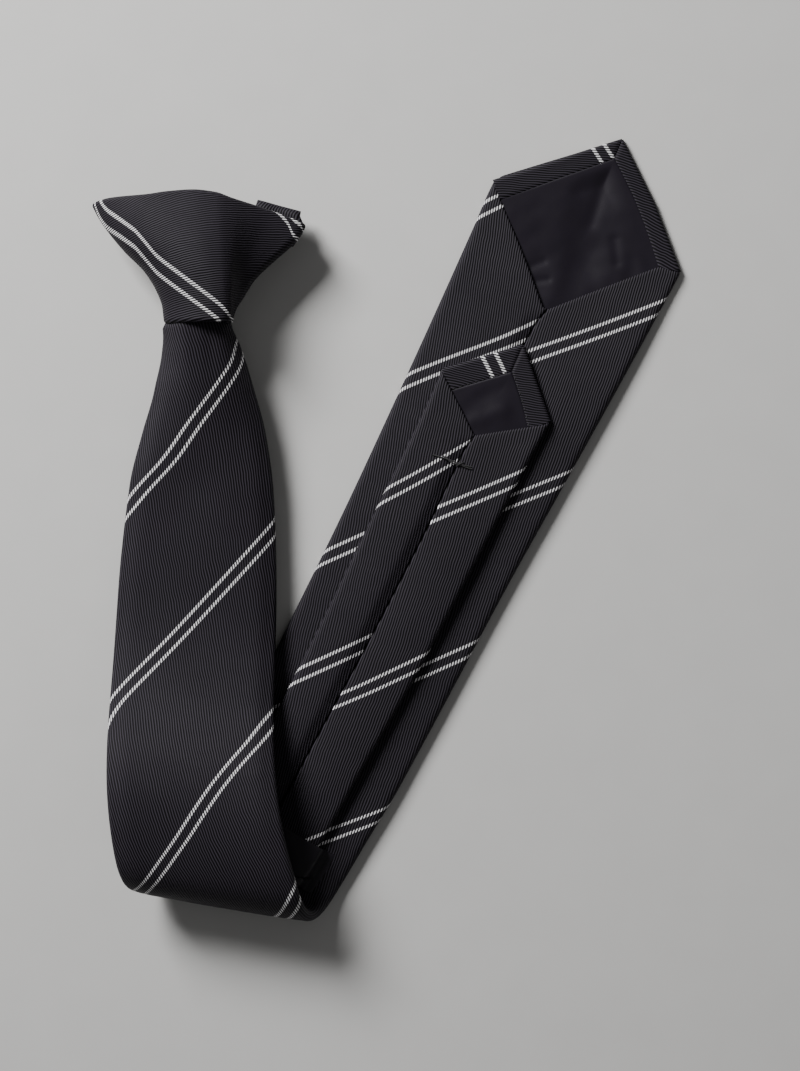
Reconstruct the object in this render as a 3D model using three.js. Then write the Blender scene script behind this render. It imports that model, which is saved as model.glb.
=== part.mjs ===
// A clip-on tie lying on a table, folded once: knot and front blade face up on the left, the blade curled
// under at the bottom, and its back with the narrow tail on it running up to the right.
// Millimetres, +Z up, standing on z = 0. +Y is the way the knot points, +X the side of the blade's tip.
import * as THREE from 'three';

// Where the middle of the footprint lies on the layout's own table grid.
const footprintMiddle = { x: -3.61, y: 2.5 };

// Cloth, as folded and pressed.
const wall = 1.0;
const bladeThick = 3.8;
const tailThick = 3.4;
const liningThick = 1.0;
const seamHalfGap = 0.25;
// How far the rounding of a folded edge reaches in, and the least width of a flap at its very tip.
const edgeRound = 0.9;
const leastFlap = 0.02;
// Where a section has its points: across the front from edge to edge, across each flap from its lip to its
// edge, and up its rounded edges.
const frontParts = [0.86, 0.58, 0.29, 0, -0.29, -0.58, -0.86];
const insideParts = [-0.58, 0, 0.58];
const flapParts = [0, 0.33, 0.67, 1];
const flapInsideParts = [0, 0.5, 1];
const edgePart = 0.4;

// The right leg lies flat on the table. Its middle line starts between the blade's corners and points
// down and to the left by this angle from straight down.
const cornerMiddle = { x: 60.1, y: 97.0 };
const legAngle = THREE.MathUtils.degToRad(27.1);

// The crease of the fold: the way it faces, from straight down towards the left, and where the bend begins.
const creaseAngle = THREE.MathUtils.degToRad(9.5);
const bendStart = 112.8;

// Profile of the fold and the left leg over it, along the way the crease faces.
const foldProfile = [
  { reach: 0, height: 1.9 },
  { reach: 5.3, height: 3.3 },
  { reach: 9.1, height: 7.1 },
  { reach: 10.5, height: 12.4 },
  { reach: 9.1, height: 17.6 },
  { reach: 5.3, height: 21.4 },
  { reach: 0, height: 23.3 },
  { reach: -9, height: 24.5 },
  { reach: -19, height: 24.2 },
  { reach: -29, height: 22.0 },
  { reach: -40, height: 18.0 },
  { reach: -54, height: 13.2 },
  { reach: -70, height: 10.0 },
  { reach: -90, height: 8.8 },
  { reach: -112, height: 9.2 },
  { reach: -134, height: 11.6 },
  { reach: -153, height: 15.4 },
  { reach: -169, height: 17.8 },
  { reach: -190, height: 18.4 },
];

// Beyond the fold the blade turns a little within its own plane, in degrees, by distance along the blade.
const legTurn = [
  { along: 0, turn: 0 },
  { along: 180, turn: 0 },
  { along: 225, turn: -5.2 },
  { along: 258, turn: -6 },
  { along: 280, turn: 0 },
  { along: 300, turn: 6.5 },
  { along: 328, turn: 10.8 },
  { along: 390, turn: 10.8 },
  { along: 415, turn: 6 },
  { along: 436, turn: 2.5 },
  { along: 470, turn: 2.5 },
];

// The blade by distance along it from its corners, towards the knot. Left and right are as seen from its
// front. The lips are the edges of the back flaps, and bend is how much the section bows, in radians per mm.
const bladeTip = [
  { along: -30.8, left: -4.7, leftLip: -4.0, rightLip: -3.4, right: -2.7 },
  { along: -23.5, left: -11.0, leftLip: -4.0, rightLip: -3.4, right: 6.3 },
  { along: -12.6, left: -21.8, leftLip: -14.6, rightLip: 12.8, right: 20.0 },
  { along: -1.5, left: -32.6, leftLip: -24.9, rightLip: 25.0, right: 32.2 },
  { along: 2.8, left: -34.1, leftLip: -29.2, rightLip: 22.0, right: 32.2 },
  { along: 15, left: -33.3, leftLip: -15.7, rightLip: 10.7, right: 31.9 },
  { along: 27.8, left: -32.6, leftLip: -1.7, rightLip: -1.1, right: 31.6 },
];
const bladeBody = [
  { along: 27.8, left: -32.6, seam: -1.4, right: 31.6, bend: 0.0001 },
  { along: 70, left: -30.6, seam: -1.4, right: 30.2, bend: 0.0001 },
  { along: 118, left: -28.8, seam: -1.2, right: 28.5, bend: 0.0001 },
  { along: 150, left: -28.2, seam: -1.0, right: 28.0, bend: 0.0001 },
  { along: 185, left: -27.7, seam: -0.6, right: 27.2, bend: 0.0001 },
  { along: 207, left: -27.5, seam: -0.4, right: 26.2, bend: 0.0001 },
  { along: 247, left: -27.3, seam: 0, right: 26.6, bend: 0.001 },
  { along: 290, left: -26.8, seam: 0, right: 26.2, bend: 0.004 },
  { along: 323, left: -26.3, seam: 0, right: 25.7, bend: 0.008 },
  { along: 355, left: -25.8, seam: 0, right: 25.0, bend: 0.012 },
  { along: 387, left: -24.3, seam: 0, right: 23.2, bend: 0.022 },
  { along: 405, left: -21.6, seam: 0, right: 20.8, bend: 0.035 },
  { along: 419, left: -18.2, seam: 0, right: 17.6, bend: 0.05 },
  { along: 431, left: -14.6, seam: 0, right: 14.6, bend: 0.08 },
  { along: 437, left: -12.4, seam: 0, right: 12.4, bend: 0.112 },
  { along: 440.5, left: -9.4, seam: 0, right: 9.4, bend: 0.147 },
  { along: 456, left: -9.3, seam: 0, right: 9.3, bend: 0.149 },
];

// The tail likewise. Sink is how far its middle lies below the blade's.
const tailTip = [
  { along: 42.1, left: -2.9, leftLip: -2.2, rightLip: -1.6, right: -1.0 },
  { along: 51.0, left: -11.9, leftLip: -2.2, rightLip: -1.6, right: 8.0 },
  { along: 59.6, left: -20.0, leftLip: -10.4, rightLip: 6.6, right: 16.8 },
  { along: 63.8, left: -20.9, leftLip: -14.3, rightLip: 8.9, right: 16.8 },
  { along: 74.7, left: -20.7, leftLip: -2.6, rightLip: -2.0, right: 16.5 },
];
const tailBody = [
  { along: 74.7, left: -20.7, seam: -2.3, right: 16.5, bend: 0.0001, sink: 3.95 },
  { along: 115, left: -19.9, seam: -1.7, right: 16.1, bend: 0.0001, sink: 3.95 },
  { along: 145, left: -19.2, seam: -1.8, right: 15.8, bend: 0.0001, sink: 3.95 },
  { along: 197, left: -18.6, seam: -2.8, right: 13.8, bend: 0.0001, sink: 3.95 },
  { along: 247, left: -17.6, seam: -2.2, right: 13.6, bend: 0.001, sink: 4.3 },
  { along: 290, left: -16.0, seam: -1.0, right: 14.2, bend: 0.004, sink: 4.2 },
  { along: 323, left: -15.0, seam: 0, right: 14.4, bend: 0.008, sink: 4.1 },
  { along: 355, left: -14.2, seam: 0, right: 14.2, bend: 0.012, sink: 3.95 },
  { along: 387, left: -12.8, seam: 0, right: 12.8, bend: 0.02, sink: 4.4 },
  { along: 405, left: -11.4, seam: 0, right: 11.4, bend: 0.026, sink: 5.1 },
  { along: 419, left: -9.4, seam: 0, right: 9.4, bend: 0.03, sink: 6.1 },
  { along: 431, left: -7.0, seam: 0, right: 7.0, bend: 0.03, sink: 7.0 },
  { along: 437, left: -5.4, seam: 0, right: 5.4, bend: 0.03, sink: 7.4 },
  { along: 441, left: -4.4, seam: 0, right: 4.4, bend: 0.03, sink: 7.4 },
  { along: 452, left: -4.0, seam: 0, right: 4.0, bend: 0.03, sink: 7.4 },
];

// Lining panels behind the tips, by the corners of each, tucked a little under the hems.
const bladeLining = [
  { across: -3.7, along: -26.0 },
  { across: 26.4, along: -0.6 },
  { across: -1.4, along: 30.0 },
  { across: -30.6, along: 2.6 },
];
const tailLining = [
  { across: -1.9, along: 47.8 },
  { across: 12.4, along: 62.6 },
  { across: -2.3, along: 77.2 },
  { across: -17.4, along: 63.6 },
];

// The band over the tail: it lies on the blade's back at both ends, where over is 0, and steps up over the
// tail between, where over is 1.
const keeper = { from: 212.6, to: 227.9, thick: 0.9, gap: 0.53, parts: 6 };
const keeperCourse = [
  { across: -24.5, over: 0 },
  { across: -21.3, over: 0 },
  { across: -19.1, over: 1 },
  { across: -8, over: 1.08 },
  { across: 4, over: 1.08 },
  { across: 15, over: 1 },
  { across: 17, over: 0 },
  { across: 20.4, over: 0 },
];

// The knot, from its mouth up to its rim: the two sides, the height of its middle, and how far its front
// and its back stand out from that.
const knotLevels = [
  { level: 0, left: -73.9, right: -53.3, middle: 13.5, front: 9.0, back: 8.3 },
  { level: 0.12, left: -74.4, right: -52.2, middle: 13.6, front: 9.8, back: 8.2 },
  { level: 0.25, left: -76.1, right: -49.8, middle: 13.6, front: 10.6, back: 8.0 },
  { level: 0.43, left: -80.1, right: -46.4, middle: 13.5, front: 11.4, back: 7.7 },
  { level: 0.6, left: -86.2, right: -41.4, middle: 13.2, front: 11.6, back: 7.3 },
  { level: 0.75, left: -90.8, right: -36.3, middle: 12.9, front: 11.0, back: 6.7 },
  { level: 0.88, left: -94.2, right: -32.3, middle: 12.6, front: 9.9, back: 6.0 },
  { level: 1, left: -96.5, right: -30.4, middle: 12.3, front: 8.2, back: 5.4 },
];
// How far up the table the knot's rim and mouth lie, across it from its left wing at -1 to its right at 1.
const knotRim = [
  { across: -1, top: 104.2 },
  { across: -0.85, top: 105.2 },
  { across: -0.5, top: 106.0 },
  { across: -0.3, top: 106.7 },
  { across: -0.04, top: 107.2 },
  { across: 0.17, top: 106.5 },
  { across: 0.34, top: 104.7 },
  { across: 0.55, top: 102.8 },
  { across: 0.78, top: 100.4 },
  { across: 1, top: 97.8 },
];
const knotMouth = 67.0;
const knotWall = 1.6;
const knotMouthWall = 1.2;
const knotMouthPart = 0.25;
const knotLean = 0.28;
const knotSides = 40;
const knotRings = [0, 0.07, 0.16, 0.27, 0.4, 0.53, 0.66, 0.78, 0.88, 0.95, 1];
const rimLift = 0.45;

// The folded end behind the right wing, by its corners on the table.
const tab = { bottom: 5.3, thick: 2.3, edge: 0.5 };
const tabCorners = [
  { x: -45.1, y: 106.6 },
  { x: -31.7, y: 102.9 },
  { x: -30.4, y: 98.8 },
  { x: -33.6, y: 92.6 },
  { x: -47.0, y: 94.0 },
];

// The clip: a strip bent back on itself, with the collar's gap between its two leaves.
const clipPart = { x: -64.2, width: 15, from: 74, to: 103, thick: 1.2, gap: 2.8, tongueFrom: 77 };

const tieCloth = new THREE.MeshStandardMaterial({ color: 0x322f35, roughness: 0.72, metalness: 0 });
const knotCloth = new THREE.MeshStandardMaterial({ color: 0x343138, roughness: 0.72, metalness: 0 });
const liningSatin = new THREE.MeshStandardMaterial({ color: 0x221c28, roughness: 0.45, metalness: 0 });
const bandSatin = new THREE.MeshStandardMaterial({ color: 0x17151a, roughness: 0.5, metalness: 0 });
const clipSteel = new THREE.MeshStandardMaterial({ color: 0x55565a, roughness: 0.4, metalness: 1 });

// Value of a named column between the rows of a table, straight or eased at each row.
function valueAt(rows, input, key, at, eased = false) {
  let next = rows.findIndex((row) => row[input] > at);
  if (next === -1) next = rows.length - 1;
  const index = Math.max(0, next - 1);
  const low = rows[index];
  const high = rows[index + 1];
  const span = high[input] - low[input];
  const part = THREE.MathUtils.clamp((at - low[input]) / span, 0, 1);
  if (!eased) return THREE.MathUtils.lerp(low[key], high[key], part);
  const slope = (a, b) => (b[key] - a[key]) / (b[input] - a[input]);
  const here = slope(low, high);
  const before = index > 0 ? slope(rows[index - 1], low) : here;
  const after = index + 2 < rows.length ? slope(high, rows[index + 2]) : here;
  const join = (a, b) => (a * b <= 0 ? 0 : (2 * a * b) / (a + b));
  const p2 = part * part;
  const p3 = p2 * part;
  return (
    low[key] * (2 * p3 - 3 * p2 + 1) + high[key] * (3 * p2 - 2 * p3) +
    join(before, here) * span * (p3 - 2 * p2 + part) + join(here, after) * span * (p3 - p2)
  );
}

// The profile as a smooth curve, and a table of it by length.
const profileCurve = new THREE.CatmullRomCurve3(
  foldProfile.map((row) => new THREE.Vector3(row.reach, row.height, 0)),
  false,
  'centripetal',
);
profileCurve.arcLengthDivisions = 2000;
const profileLength = profileCurve.getLength();

// Reach and height of the profile, and its outward direction, a given length past the start of the bend.
function profileAt(length) {
  if (length <= 0) {
    return { reach: length, height: foldProfile[0].height, outReach: 0, outHeight: -1 };
  }
  const part = Math.min(length / profileLength, 1);
  const point = profileCurve.getPointAt(part);
  const tangent = profileCurve.getTangentAt(part);
  return { reach: point.x, height: point.y, outReach: tangent.y, outHeight: -tangent.x };
}

// The blade's middle line laid out flat in the plane of the table, in steps of a millimetre.
const pathStep = 1;
const flatPath = [];
{
  const first = bladeTip[0].along - 2;
  const last = bladeBody[bladeBody.length - 1].along + 2;
  let x = cornerMiddle.x - first * Math.sin(legAngle);
  let y = cornerMiddle.y - first * Math.cos(legAngle);
  for (let along = first; along <= last; along += pathStep) {
    const turn = THREE.MathUtils.degToRad(valueAt(legTurn, 'along', 'turn', along, true));
    const heading = legAngle - turn;
    flatPath.push({ along, x, y, heading });
    x -= Math.sin(heading) * pathStep;
    y -= Math.cos(heading) * pathStep;
  }
}

const creaseFacing = { x: -Math.sin(creaseAngle), y: -Math.cos(creaseAngle) };
const creaseLine = { x: Math.cos(creaseAngle), y: -Math.sin(creaseAngle) };

// A point of the tie in space: across and along the blade, and out from the middle of its thickness
// towards its front, on a section bowed by bend.
function place(across, along, out, bend) {
  const index = THREE.MathUtils.clamp((along - flatPath[0].along) / pathStep, 0, flatPath.length - 2);
  const low = flatPath[Math.floor(index)];
  const high = flatPath[Math.floor(index) + 1];
  const part = index - Math.floor(index);
  const heading = THREE.MathUtils.lerp(low.heading, high.heading, part);
  const radius = 1 / bend;
  const side = (radius + out) * Math.sin(across * bend);
  const lift = (radius + out) * Math.cos(across * bend) - radius;
  const x = THREE.MathUtils.lerp(low.x, high.x, part) + side * Math.cos(heading);
  const y = THREE.MathUtils.lerp(low.y, high.y, part) - side * Math.sin(heading);
  const onCrease = x * creaseLine.x + y * creaseLine.y;
  const towards = x * creaseFacing.x + y * creaseFacing.y;
  const profile = profileAt(towards - bendStart);
  const reach = bendStart + profile.reach + lift * profile.outReach;
  return new THREE.Vector3(
    onCrease * creaseLine.x + reach * creaseFacing.x,
    onCrease * creaseLine.y + reach * creaseFacing.y,
    profile.height + lift * profile.outHeight,
  );
}

// A closed body through rings of points that all have the same number, with or without end caps.
// The caps are cut from the flat outlines of the first and last ring, or the rings close on themselves.
function skin(rings, firstOutline, lastOutline) {
  const count = rings[0].length;
  const closed = !firstOutline;
  const positions = rings.flat().flatMap((point) => [point.x, point.y, point.z]);
  const index = [];
  const bands = closed ? rings.length : rings.length - 1;
  for (let ring = 0; ring < bands; ring += 1) {
    const here = ring * count;
    const there = ((ring + 1) % rings.length) * count;
    for (let side = 0; side < count; side += 1) {
      const next = (side + 1) % count;
      index.push(here + side, here + next, there + next);
      index.push(here + side, there + next, there + side);
    }
  }
  if (!closed) {
    const lastRing = (rings.length - 1) * count;
    const cap = (outline, start, turned) => {
      const flip = THREE.ShapeUtils.isClockWise(outline) !== turned;
      for (const face of THREE.ShapeUtils.triangulateShape(outline, [])) {
        const [a, b, c] = face.map((corner) => start + corner);
        index.push(...(flip ? [a, c, b] : [a, b, c]));
      }
    };
    cap(firstOutline, 0, true);
    cap(lastOutline, lastRing, false);
  }
  const geometry = new THREE.BufferGeometry();
  geometry.setAttribute('position', new THREE.Float32BufferAttribute(positions, 3));
  geometry.setIndex(index);
  return geometry;
}

// Turns a body the right way out by the sign of its volume.
function facingOut(geometry) {
  const index = geometry.index.array;
  const position = geometry.attributes.position;
  const corner = [new THREE.Vector3(), new THREE.Vector3(), new THREE.Vector3()];
  let volume = 0;
  for (let face = 0; face < index.length; face += 3) {
    corner.forEach((point, slot) => point.fromBufferAttribute(position, index[face + slot]));
    volume += corner[0].dot(corner[1].clone().cross(corner[2]));
  }
  if (volume < 0) {
    for (let face = 0; face < index.length; face += 3) {
      [index[face + 1], index[face + 2]] = [index[face + 2], index[face + 1]];
    }
  }
  geometry.computeVertexNormals();
  return geometry;
}

// Section of a folded blade: one wall of cloth that starts at the right flap's lip, goes round the right
// edge, the front and the left edge, ends at the left flap's lip, and comes back inside.
function foldedSection(row, thick) {
  const half = thick / 2;
  const inner = half - wall;
  const width = row.right - row.left;
  const middle = (row.right + row.left) / 2;
  const soft = Math.min(edgeRound, width * 0.2);
  const inset = Math.min(wall, width * 0.3);
  const outline = [];
  const add = (across, out) => outline.push(new THREE.Vector2(across, out));
  const flap = (from, to, out, parts) => {
    parts.forEach((part) => add(THREE.MathUtils.lerp(from, to, part), out));
  };
  const rightEnd = row.right - soft;
  const leftEnd = row.left + soft;
  const rightIn = Math.max(row.right - inset, row.rightLip + leastFlap);
  const leftIn = Math.min(row.left + inset, row.leftLip - leastFlap);
  flap(row.rightLip, Math.max(rightEnd, row.rightLip + leastFlap), -half, flapParts);
  add(row.right, -half * edgePart);
  add(row.right, half * edgePart);
  frontParts.forEach((part) => add(middle + (part * width) / 2, half));
  add(row.left, half * edgePart);
  add(row.left, -half * edgePart);
  flap(Math.min(leftEnd, row.leftLip - leastFlap), row.leftLip, -half, flapParts);
  flap(row.leftLip, leftIn, -inner, flapInsideParts);
  add(leftIn, inner);
  insideParts.forEach((part) => add(middle + (part * width) / 2, inner));
  add(rightIn, inner);
  flap(rightIn, row.rightLip, -inner, flapInsideParts);
  return outline;
}

// Distances along the tie at which it has a section: the rows of its tip, then steps that are the same for
// both blades, finer round the fold and where they narrow to the knot.
const steps = [
  { until: 210, step: 14 },
  { until: 304.5, step: 3.5 },
  { until: 381.5, step: 7 },
  { until: 450, step: 5 },
];
function stations(tip, body) {
  const list = tip.slice(0, -1).map((row) => row.along);
  const start = body[0].along;
  const end = body[body.length - 1].along;
  list.push(start);
  let along = 0;
  for (const { until, step } of steps) {
    while (along < until) {
      along += step;
      if (along > start + 2 && along < end - 2) list.push(along);
    }
  }
  list.push(end);
  return list;
}

// The wall of a blade, from its tip to its end in the knot.
function foldedBlade(tip, body, thick) {
  const rings = [];
  const outlines = [];
  for (const along of stations(tip, body)) {
    const inTip = along < body[0].along;
    const rows = inTip ? tip : body;
    const read = (key) => valueAt(rows, 'along', key, along, !inTip);
    const seam = inTip ? 0 : read('seam');
    const row = {
      left: read('left'),
      right: read('right'),
      leftLip: inTip ? read('leftLip') : seam - seamHalfGap,
      rightLip: inTip ? read('rightLip') : seam + seamHalfGap,
    };
    const bend = inTip ? body[0].bend : read('bend');
    let sink = 0;
    if (body[0].sink) sink = inTip ? body[0].sink : read('sink');
    const outline = foldedSection(row, thick);
    rings.push(outline.map((point) => place(point.x, along, point.y - sink, bend)));
    outlines.push(outline);
  }
  return facingOut(skin(rings, outlines[0], outlines[outlines.length - 1]));
}

// A lining panel: a flat plate with the corners given, inside the blade between its front and its flaps.
function liningPanel(corners, sink) {
  const level = bladeBody[0].bend;
  const ring = (out) => corners.map((corner) => place(corner.across, corner.along, out - sink, level));
  const outline = corners.map((corner) => new THREE.Vector2(corner.across, corner.along));
  const rings = [ring(-liningThick / 2), ring(liningThick / 2)];
  return facingOut(skin(rings, outline, outline));
}

// The band over the tail, as one strip that follows its course.
function keeperBand() {
  const low = bladeThick / 2 + keeper.gap;
  const high = tailBody[0].sink + tailThick / 2 + keeper.gap;
  const depth = (row) => THREE.MathUtils.lerp(low, high, row.over);
  const under = keeperCourse.map((row) => new THREE.Vector2(row.across, -depth(row)));
  const over = under.map((point) => new THREE.Vector2(point.x, point.y - keeper.thick));
  const outline = [...under, ...over.reverse()];
  const rings = [];
  for (let part = 0; part <= keeper.parts; part += 1) {
    const along = THREE.MathUtils.lerp(keeper.from, keeper.to, part / keeper.parts);
    const bend = valueAt(bladeBody, 'along', 'bend', along, true);
    rings.push(outline.map((point) => place(point.x, along, point.y, bend)));
  }
  return facingOut(skin(rings, outline, outline));
}

// One ring of the knot. Inset draws it in by the wall for the inside.
function knotRing(level, inset) {
  const read = (key) => valueAt(knotLevels, 'level', key, level, true);
  const half = (read('right') - read('left')) / 2 - inset;
  const centre = (read('right') + read('left')) / 2;
  const ring = [];
  for (let side = 0; side < knotSides; side += 1) {
    const angle = (side / knotSides) * Math.PI * 2;
    const rise = Math.sin(angle);
    const swing = Math.cos(angle) + (rise > 0 ? knotLean * rise * rise : 0);
    const top = valueAt(knotRim, 'across', 'top', swing, true);
    const depth = rise > 0 ? read('front') : read('back');
    ring.push(new THREE.Vector3(
      centre + swing * half,
      knotMouth + (top - knotMouth) * level,
      read('middle') + rise * (depth - inset),
    ));
  }
  return ring;
}

// The knot as one hollow wrap: up the outside, over a rounded rim, and down the inside.
function knotWrap() {
  const outside = knotRings.map((level) => knotRing(level, 0));
  const wallAt = (level) => THREE.MathUtils.lerp(knotMouthWall, knotWall, Math.min(level / knotMouthPart, 1));
  const inside = knotRings.map((level) => knotRing(level, wallAt(level))).reverse();
  const rim = knotRing(1, knotWall / 2).map((point) => point.setY(point.y + rimLift));
  const mouth = knotRing(0, knotMouthWall / 2).map((point) => point.setY(point.y - rimLift));
  return facingOut(skin([...outside, rim, ...inside, mouth]));
}

// The folded end behind the right wing.
function knotTab() {
  const shape = new THREE.Shape(tabCorners.map((corner) => new THREE.Vector2(corner.x, corner.y)));
  const geometry = new THREE.ExtrudeGeometry(shape, {
    depth: tab.thick - 2 * tab.edge,
    bevelThickness: tab.edge,
    bevelSize: tab.edge,
    bevelOffset: -tab.edge,
    bevelSegments: 2,
  });
  return geometry.translate(0, 0, tab.bottom + tab.edge);
}

// The clip's outline from the side, drawn along the table and up, and its width across the tie.
function clipStrip() {
  const { from, to, thick, gap, tongueFrom, width } = clipPart;
  const outer = gap / 2 + thick;
  const bendCentre = to - outer;
  const shape = new THREE.Shape();
  shape.moveTo(tongueFrom, 0);
  shape.lineTo(bendCentre, 0);
  shape.absarc(bendCentre, outer, outer, -Math.PI / 2, Math.PI / 2, false);
  shape.lineTo(from, 2 * outer);
  shape.lineTo(from, 2 * outer - thick);
  shape.lineTo(bendCentre, 2 * outer - thick);
  shape.absarc(bendCentre, outer, gap / 2, Math.PI / 2, -Math.PI / 2, true);
  shape.lineTo(tongueFrom, thick);
  const geometry = new THREE.ExtrudeGeometry(shape, { depth: width, bevelEnabled: false, curveSegments: 10 });
  // Stands the outline up: its x becomes the table's y, its y the height, and its depth the table's x.
  const turn = new THREE.Matrix4().makeBasis(
    new THREE.Vector3(0, 1, 0),
    new THREE.Vector3(0, 0, 1),
    new THREE.Vector3(1, 0, 0),
  );
  return geometry.applyMatrix4(turn).translate(clipPart.x - width / 2, 0, 0);
}

const group = new THREE.Group();

function addPiece(name, geometry, material) {
  const mesh = new THREE.Mesh(geometry, material);
  mesh.name = name;
  mesh.position.set(-footprintMiddle.x, -footprintMiddle.y, 0);
  group.add(mesh);
}

addPiece('knot', knotWrap(), knotCloth);
addPiece('knot_tab', knotTab(), knotCloth);
addPiece('front_blade', foldedBlade(bladeTip, bladeBody, bladeThick), tieCloth);
addPiece('front_tipping', liningPanel(bladeLining, 0), liningSatin);
addPiece('tail_blade', foldedBlade(tailTip, tailBody, tailThick), tieCloth);
addPiece('tail_tipping', liningPanel(tailLining, tailBody[0].sink), liningSatin);
addPiece('keeper_loop', keeperBand(), bandSatin);
addPiece('clip', clipStrip(), clipSteel);

export default group;
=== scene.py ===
import bmesh
import bpy
from bisect import bisect_right
from math import cos, exp, pi, radians, sin, sqrt
from mathutils import Matrix, Vector, noise


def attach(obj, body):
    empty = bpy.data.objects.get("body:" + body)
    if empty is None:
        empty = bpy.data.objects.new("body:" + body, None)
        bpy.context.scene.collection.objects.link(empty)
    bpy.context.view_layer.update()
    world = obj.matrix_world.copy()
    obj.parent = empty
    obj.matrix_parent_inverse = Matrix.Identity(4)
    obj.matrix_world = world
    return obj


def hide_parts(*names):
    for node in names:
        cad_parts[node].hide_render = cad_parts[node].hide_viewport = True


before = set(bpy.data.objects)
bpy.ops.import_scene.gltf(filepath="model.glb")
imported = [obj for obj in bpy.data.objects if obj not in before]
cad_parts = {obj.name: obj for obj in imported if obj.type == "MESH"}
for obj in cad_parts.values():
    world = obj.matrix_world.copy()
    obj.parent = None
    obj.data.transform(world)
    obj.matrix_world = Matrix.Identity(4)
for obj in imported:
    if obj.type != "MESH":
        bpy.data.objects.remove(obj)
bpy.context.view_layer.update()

# A clip-on tie lying folded once. Left leg: knot and blade, front up. Right leg: the back, with the tail
# on it. Tables are in millimetres on the layout's grid of the table top, meshes in metres in the frame.
mm = 0.001
layoutMiddle = Vector((-3.61, 2.5, 0))  # where the footprint's middle lies on the layout's grid


def table(columns, *rows):
    return {name: [row[place] for row in rows] for place, name in enumerate(columns.split())}


def mix(a, b, part):
    return a + (b - a) * part


def clamp(value, low=0.0, high=1.0):
    return max(low, min(high, value))


def soft(part):
    part = clamp(part)
    return part * part * (3 - 2 * part)


def hill(distance, width):
    return exp(-(distance / width) ** 2)


def valueAt(rows, key, at, eased=True):  # the first column is the input; eased runs smoothly through the rows
    inputs = next(iter(rows.values()))
    values = rows[key]
    low = clamp(bisect_right(inputs, at) - 1, 0, len(inputs) - 2)
    span = inputs[low + 1] - inputs[low]
    part = clamp((at - inputs[low]) / span)
    if not eased:
        return mix(values[low], values[low + 1], part)
    here = (values[low + 1] - values[low]) / span
    before = here if low == 0 else (values[low] - values[low - 1]) / (inputs[low] - inputs[low - 1])
    after = here
    if low + 2 < len(inputs):
        after = (values[low + 2] - values[low + 1]) / (inputs[low + 2] - inputs[low + 1])
    start, end = [0 if a * b <= 0 else 2 * a * b / (a + b) for a, b in ((before, here), (here, after))]
    p2, p3 = part ** 2, part ** 3
    return (values[low] * (2 * p3 - 3 * p2 + 1) + values[low + 1] * (3 * p2 - 2 * p3)
            + start * span * (p3 - 2 * p2 + part) + end * span * (p3 - p2))


# The run of the tie over the table: its middle line, and the fold that it makes.
run = {
    "cornerX": 60.1, "cornerY": 97.0,    # between the blade's two corners
    "legAngle": radians(27.1),           # of the right leg, from straight down towards the left
    "creaseAngle": radians(9.5),         # the way the fold faces, from straight down towards the left
    "bendStart": 112.8,                  # where the fold begins, along that way
    "first": -34, "last": 462,           # distances along the blade that the path covers
}
foldProfile = table(
    "reach height", (0, 1.9), (5.3, 3.3), (9.1, 7.1), (10.5, 12.4), (9.1, 17.6), (5.3, 21.4), (0, 23.3),
    (-9, 24.5), (-19, 24.2), (-29, 22.0), (-40, 18.0), (-54, 13.2), (-70, 10.0), (-90, 8.8), (-112, 9.2),
    (-134, 11.6), (-153, 15.4), (-169, 17.8), (-190, 18.4))
legTurn = table(
    "along turn", (0, 0), (180, 0), (225, -5.2), (258, -6), (280, 0), (300, 6.5), (328, 10.8), (390, 10.8),
    (415, 6), (436, 2.5), (470, 2.5))


def smoothLine(points, steps=24):  # centripetal Catmull-Rom, as the solids have it
    points = [2 * points[0] - points[1]] + points + [2 * points[-1] - points[-2]]
    line = []
    for p0, p1, p2, p3 in zip(points, points[1:], points[2:], points[3:]):
        d0, d1, d2 = [sqrt((b - a).length) for a, b in ((p0, p1), (p1, p2), (p2, p3))]
        start = ((p1 - p0) / d0 - (p2 - p0) / (d0 + d1) + (p2 - p1) / d1) * d1
        end = ((p2 - p1) / d1 - (p3 - p1) / (d1 + d2) + (p3 - p2) / d2) * d1
        for step in range(steps):
            t = step / steps
            line.append(p1 * (2 * t ** 3 - 3 * t ** 2 + 1) + p2 * (3 * t ** 2 - 2 * t ** 3)
                        + start * (t ** 3 - 2 * t ** 2 + t) + end * (t ** 3 - t ** 2))
    return line + [points[-2]]


def measured(line):  # the line with its lengths and directions
    lengths = [0.0]
    for a, b in zip(line, line[1:]):
        lengths.append(lengths[-1] + (b - a).length)
    last = len(line) - 1
    ways = [(line[min(k + 1, last)] - line[max(k - 1, 0)]).normalized() for k in range(len(line))]
    return line, lengths, ways


profile = measured(smoothLine([Vector(row) for row in zip(foldProfile["reach"], foldProfile["height"])]))


def profileAt(length):  # the point and the outward direction, as (reach, height)
    if length <= 0:
        return Vector((length, foldProfile["height"][0])), Vector((0, -1))
    line, lengths, ways = profile
    low = clamp(bisect_right(lengths, length) - 1, 0, len(line) - 2)
    part = clamp((length - lengths[low]) / (lengths[low + 1] - lengths[low]))
    way = ways[low].lerp(ways[low + 1], part).normalized()
    return line[low].lerp(line[low + 1], part), Vector((way.y, -way.x))


def layPath():
    x = run["cornerX"] - run["first"] * sin(run["legAngle"])
    y = run["cornerY"] - run["first"] * cos(run["legAngle"])
    path = []
    for along in range(run["first"], run["last"]):
        heading = run["legAngle"] - radians(valueAt(legTurn, "turn", along))
        path.append((x, y, heading))
        x -= sin(heading)
        y -= cos(heading)
    return path


path = layPath()
creaseWay = Vector((-sin(run["creaseAngle"]), -cos(run["creaseAngle"])))
creaseLine = Vector((cos(run["creaseAngle"]), -sin(run["creaseAngle"])))


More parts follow.
